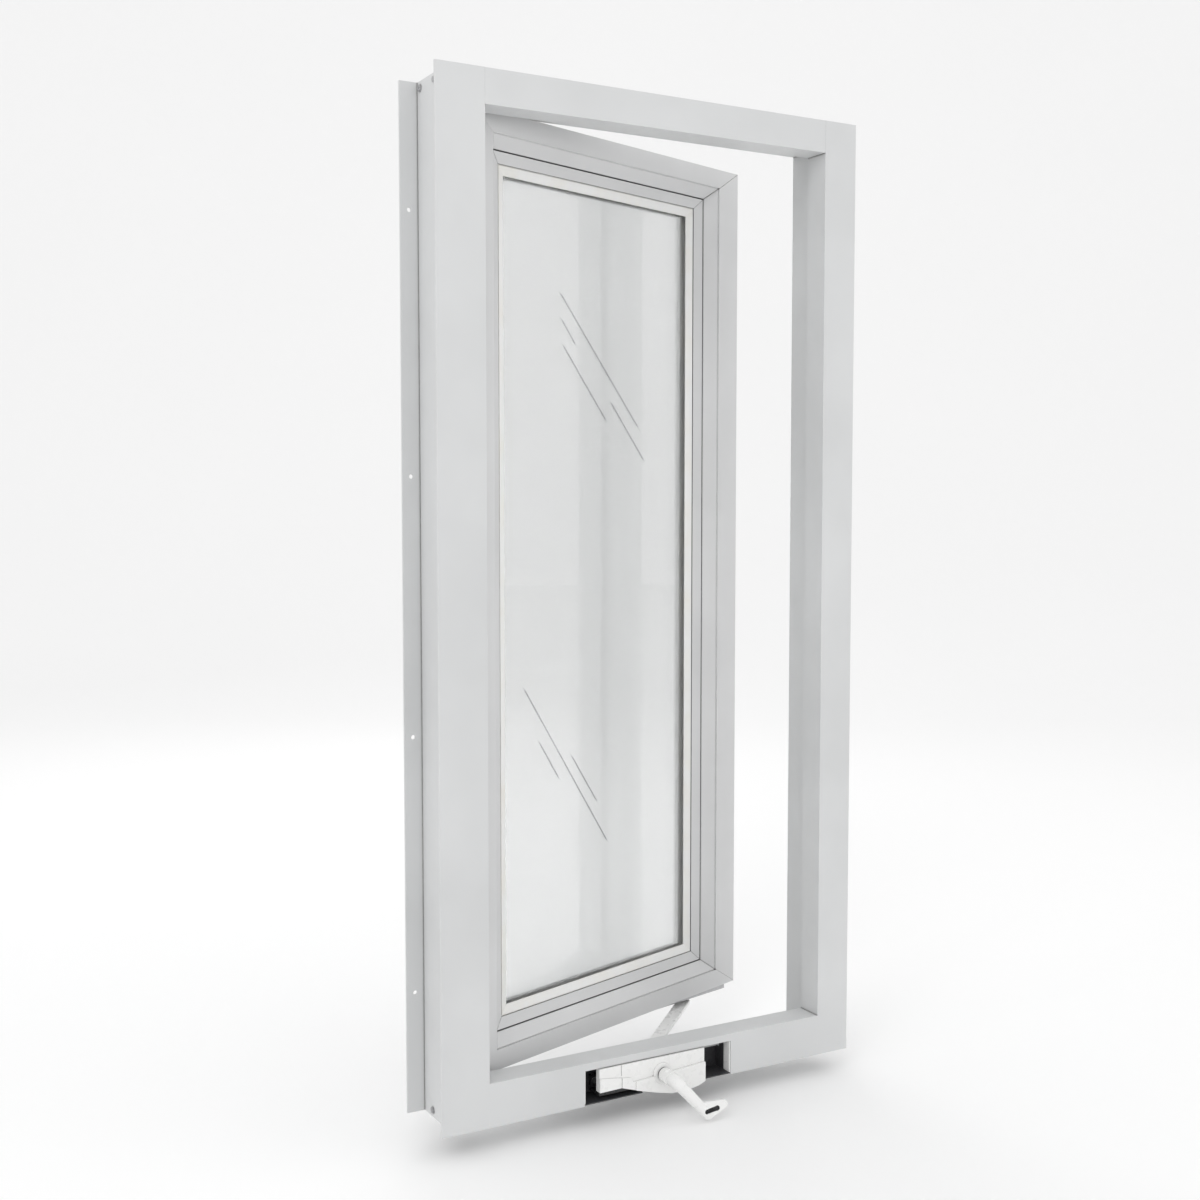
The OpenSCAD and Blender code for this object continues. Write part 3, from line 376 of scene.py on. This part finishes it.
def dress_cad():
    """Gives every CAD node its material, and softens the edges of the nodes whose slot has a bevel
    width.
    """
    slots = {s["node"]: s["material_slot"] for s in frame["record"]["subparts"]}
    for name, obj in NODES.items():
        slot = slots[name]
        obj.data.materials.clear()
        obj.data.materials.append(OWN_MATERIALS.get(name, MATERIALS[slot]))
        if slot in BEVELS:
            soften(obj, BEVELS[slot] * MM)


# ---------- Detail pieces ----------

# The record's origin lies here in the design's own millimetres.
DESIGN_ZERO = Vector((290.0, 68.0, 600.0))
HINGE_AXIS = Vector((49.5, 89.0, 0.0))
REST_OPEN = math.radians(18)
FACE_W = 580.0
OUTDOOR_Y = 84.0


def place_mm(x, y, z):
    """A design point in millimetres as a point of the part frame in metres."""
    return (Vector((x, y, z)) - DESIGN_ZERO) * MM


def sash_mm(x, y, z):
    """A design point of the closed sash, moved to where the sash stands at rest."""
    turned = Matrix.Rotation(REST_OPEN, 3, "Z") @ (Vector((x, y, z)) - HINGE_AXIS) + HINGE_AXIS
    return place_mm(*turned)


def lathe(bm, profile, steps=32):
    """Revolves (radius, height) points about Z; a radius of 0 closes an end."""
    rings = []
    for radius, height in profile:
        if radius == 0:
            rings.append([bm.verts.new((0, 0, height))])
            continue
        rings.append([bm.verts.new((radius * math.cos(2 * math.pi * i / steps),
                                    radius * math.sin(2 * math.pi * i / steps), height))
                      for i in range(steps)])
    for low, high in zip(rings, rings[1:]):
        for i in range(steps):
            j = (i + 1) % steps
            corners = [low[i % len(low)], low[j % len(low)], high[j % len(high)],
                       high[i % len(high)]]
            distinct = list(dict.fromkeys(corners))
            if len(distinct) > 2:
                bm.faces.new(distinct)


def prism(bm, outline, low, high, taper=1.0):
    """A prism along Z over an outline; taper scales its low end."""
    top = [bm.verts.new((x, y, high)) for x, y in outline]
    bottom = [bm.verts.new((x * taper, y * taper, low)) for x, y in outline]
    bm.faces.new(top)
    bm.faces.new(bottom[::-1])
    for i in range(len(outline)):
        j = (i + 1) % len(outline)
        bm.faces.new((bottom[i], bottom[j], top[j], top[i]))


def mesh_from(name, build):
    """A mesh in metres that build(bm) draws in millimetres."""
    mesh = bpy.data.meshes.new(name)
    bm = bmesh.new()
    build(bm)
    bmesh.ops.recalc_face_normals(bm, faces=bm.faces)
    bmesh.ops.scale(bm, vec=(MM, MM, MM), verts=bm.verts)
    bm.to_mesh(mesh)
    bm.free()
    return mesh


def cut(mesh, cutter_mesh):
    """The mesh less the cutter, as a new mesh."""
    body = bpy.data.objects.new("body", mesh)
    cutter = bpy.data.objects.new("cutter", cutter_mesh)
    for obj in (body, cutter):
        bpy.context.scene.collection.objects.link(obj)
    boolean = body.modifiers.new("cut", "BOOLEAN")
    boolean.object = cutter
    boolean.solver = "EXACT"
    bpy.context.view_layer.update()
    result = bpy.data.meshes.new_from_object(
        body.evaluated_get(bpy.context.evaluated_depsgraph_get()))
    for obj in (body, cutter):
        bpy.data.objects.remove(obj)
    return result


def cross_screw_mesh():
    """Countersunk-washer screw with a cross recess, its head's top at zero and its tip below."""
    head_r, head_t, shank_r, length = 3.6, 1.3, 1.8, 14.0
    solid = mesh_from("screw", lambda bm: lathe(bm, [
        (0, 0), (head_r * 0.72, 0), (head_r * 0.93, -0.14), (head_r, -0.42), (head_r, -head_t),
        (shank_r, -head_t), (shank_r, -length + 2.6), (shank_r * 0.45, -length + 0.6),
        (0, -length)]))
    arm, half = 2.1, 0.45
    outline = []
    for k in range(4):
        c, n = math.cos(k * math.pi / 2), math.sin(k * math.pi / 2)
        for x, y in ((half, -half), (arm, -half * 0.8), (arm, half * 0.8)):
            outline.append((c * x - n * y, n * x + c * y))
    return cut(solid, mesh_from("cross", lambda bm: prism(bm, outline, -1.0, 0.2, 0.55)))


HEX_SCREW_L = 63


def hex_screw_mesh():
    """Hexagon washer-head screw with a dished top, its seat at zero and its shank above."""
    def build(bm):
        lathe(bm, [(0, -0.7), (4.2, -0.7), (4.2, -0.25), (3.9, 0), (2.0, 0),
                   (2.0, HEX_SCREW_L - 3), (1.2, HEX_SCREW_L - 1), (0, HEX_SCREW_L)])
        hexagon = [(3.55 * math.cos(math.pi / 3 * i), 3.55 * math.sin(math.pi / 3 * i))
                   for i in range(6)]
        prism(bm, hexagon, -2.6, -0.6, 0.94)
    dish_profile = [(0, -2.1), (1.6, -2.25), (2.5, -2.7), (0, -2.7)]
    dish = mesh_from("dish", lambda bm: lathe(bm, dish_profile))
    return cut(mesh_from("hex", build), dish)


def scatter(name, mesh, spots, body, replaced):
    """Copies of one screw joined in one piece that stands for a CAD node.

    Each spot is (place, direction, length); a length of None keeps the mesh's own.
    """
    bm = bmesh.new()
    for spot, axis, length in spots:
        part = bmesh.new()
        part.from_mesh(mesh)
        if length is not None:
            for v in part.verts:
                if v.co.z > 10 * MM:
                    v.co.z += (length - HEX_SCREW_L) * MM
        turn = Vector(axis).to_track_quat("Z", "Y").to_matrix().to_4x4()
        part.transform(Matrix.Translation(spot) @ turn)
        joined = bpy.data.meshes.new("part")
        part.to_mesh(joined)
        part.free()
        bm.from_mesh(joined)
        bpy.data.meshes.remove(joined)
    final = bpy.data.meshes.new(name)
    bm.to_mesh(final)
    bm.free()
    obj = bpy.data.objects.new(name, final)
    bpy.context.scene.collection.objects.link(obj)
    obj.data.materials.append(MATERIALS["steel"])
    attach(obj, body)
    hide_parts(replaced)


def make_hinge_screws():
    """Hinge screws as the CAD places them: two per leaf at both hinges."""
    mesh = cross_screw_mesh()
    leaf_t, screw_up, screw_out = 2.5, 21.7, 17.28
    top_y = OUTDOOR_Y + leaf_t
    heights = [z + dz for z in (1039.0, 175.0) for dz in (-screw_up, screw_up)]
    frame_x, sash_x = HINGE_AXIS.x - screw_out, HINGE_AXIS.x + screw_out
    outward = (0, 1, 0)
    turned = (-math.sin(REST_OPEN), math.cos(REST_OPEN), 0)
    scatter("hinge_frame_screw_heads", mesh,
            [(place_mm(frame_x, top_y, z), outward, None) for z in heights], "frame",
            "hinge_frame_screws")
    scatter("hinge_sash_screw_heads", mesh,
            [(sash_mm(sash_x, top_y, z), turned, None) for z in heights], "sash",
            "hinge_sash_screws")


def make_corner_screws():
    """Hexagon screws through both jambs into the head and the sill."""
    mesh = hex_screw_mesh()
    places = [(19, 1184), (60, 1184), (44, 16), (76, 16)]
    seat = 8
    spots = [(place_mm(seat, y, z), (1, 0, 0), 70) for y, z in places]
    spots += [(place_mm(FACE_W - seat, y, z), (-1, 0, 0), 58) for y, z in places]
    scatter("corner_screw_heads", mesh, spots, "frame", "corner_screws")


def make_weep_covers():
    """Hooded covers over the two weep slots on the outdoor side of the sill."""
    half, cheek = 17.0, 1.2
    hood = [(0, 9.5), (1.4, 9.5), (3.6, 3.0), (3.6, 0.8), (2.7, 0.8), (2.5, 2.4), (0.8, 8.0),
            (0, 8.0)]
    side = [(0, 0), (0, 9.5), (1.4, 9.5), (3.6, 3.0), (3.6, 0.8), (2.4, 0)]

    def build(bm):
        for outline, low, high in ((hood, -half, half), (side, -half, -half + cheek),
                                   (side, half - cheek, half)):
            rings = [[bm.verts.new((x, y, z)) for y, z in outline] for x in (low, high)]
            bm.faces.new(rings[0])
            bm.faces.new(rings[1][::-1])
            for i in range(len(outline)):
                j = (i + 1) % len(outline)
                bm.faces.new((rings[0][j], rings[0][i], rings[1][i], rings[1][j]))
    for index, x in enumerate((127.6, 452.4)):
        obj = bpy.data.objects.new(f"weep_cover_{index + 1}", mesh_from("weep_cover", build))
        bpy.context.scene.collection.objects.link(obj)
        obj.location = place_mm(x, OUTDOOR_Y, 8.6)
        obj.data.materials.append(MATERIALS["wedge_vinyl"])
        bevel = obj.modifiers.new("bevel", "BEVEL")
        bevel.width = 0.2 * MM
        bevel.segments = 2
        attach(obj, "frame")


# ---------- Stage ----------

VIEW_FROM = Vector((-0.949, -1.601, 0.118))
VIEW_YAW = math.radians(29.43)
VIEW_PITCH = math.radians(-3.64)
LENS = 45.0
FLOOR_DROP = 0.004


def make_camera():
    data = bpy.data.cameras.new("camera")
    data.sensor_width = 36.0
    data.lens = LENS
    camera = bpy.data.objects.new("camera", data)
    bpy.context.scene.collection.objects.link(camera)
    ahead = Vector((math.sin(VIEW_YAW) * math.cos(VIEW_PITCH),
                    math.cos(VIEW_YAW) * math.cos(VIEW_PITCH), math.sin(VIEW_PITCH)))
    camera.location = VIEW_FROM
    camera.rotation_euler = ahead.to_track_quat("-Z", "Y").to_euler()
    bpy.context.scene.camera = camera


def make_floor():
    """A pale floor just under the lowest piece, curving up into a pale wall far behind."""
    floor_z = CAD_BOX[0][2] - FLOOR_DROP
    front, back, radius, top, half = -7.0, 3.2, 2.2, 7.0, 12.0
    steps = 24
    profile = [(front, floor_z), (back, floor_z)]
    for i in range(1, steps + 1):
        a = math.pi / 2 * i / steps
        profile.append((back + radius * math.sin(a), floor_z + radius * (1 - math.cos(a))))
    profile.append((back + radius, top))
    mesh = bpy.data.meshes.new("floor")
    points = [(x, y, z) for y, z in profile for x in (-half, half)]
    faces = [(2 * i, 2 * i + 1, 2 * i + 3, 2 * i + 2) for i in range(len(profile) - 1)]
    mesh.from_pydata(points, [], faces)
    mesh.shade_smooth()
    floor = bpy.data.objects.new("floor", mesh)
    floor.matrix_world = Matrix.Rotation(-VIEW_YAW, 4, "Z")
    bpy.context.scene.collection.objects.link(floor)
    s = Shader("floor")
    s.colour(s.blend(s.noise(0.8, detail=3), (0.965, 0.965, 0.965), (0.98, 0.98, 0.98)))
    s.put(Roughness=0.9, Specular_IOR_Level=0.1)
    floor.data.materials.append(s.material)


def soft_box(name, place, target, size, power):
    """A round studio light that doesn't show in reflections or through the glass."""
    data = bpy.data.lights.new(name, "AREA")
    data.shape = "DISK"
    data.size = size
    data.energy = power
    light = bpy.data.objects.new(name, data)
    bpy.context.scene.collection.objects.link(light)
    light.location = place
    light.rotation_euler = (Vector(target) - Vector(place)).to_track_quat("-Z", "Y").to_euler()
    light.visible_glossy = False
    light.visible_transmission = False


def make_stage():
    make_camera()
    make_floor()
    soft_box("key", (-2.6, -2.4, 2.6), (0, 0, 0), 2.2, 26)
    soft_box("fill", (2.6, -2.2, 0.8), (0, 0, 0), 2.4, 6)
    soft_box("rim", (0.6, 2.6, 1.8), (0, 0, 0.1), 2.0, 12)
    world = bpy.data.worlds.new("studio")
    world.use_nodes = True
    background = world.node_tree.nodes["Background"]
    background.inputs["Color"].default_value = (1, 1, 1, 1)
    background.inputs["Strength"].default_value = 0.9
    bpy.context.scene.world = world
    bpy.context.scene.view_settings.view_transform = "Standard"


dress_cad()
make_hinge_screws()
make_corner_screws()
make_weep_covers()
make_stage()
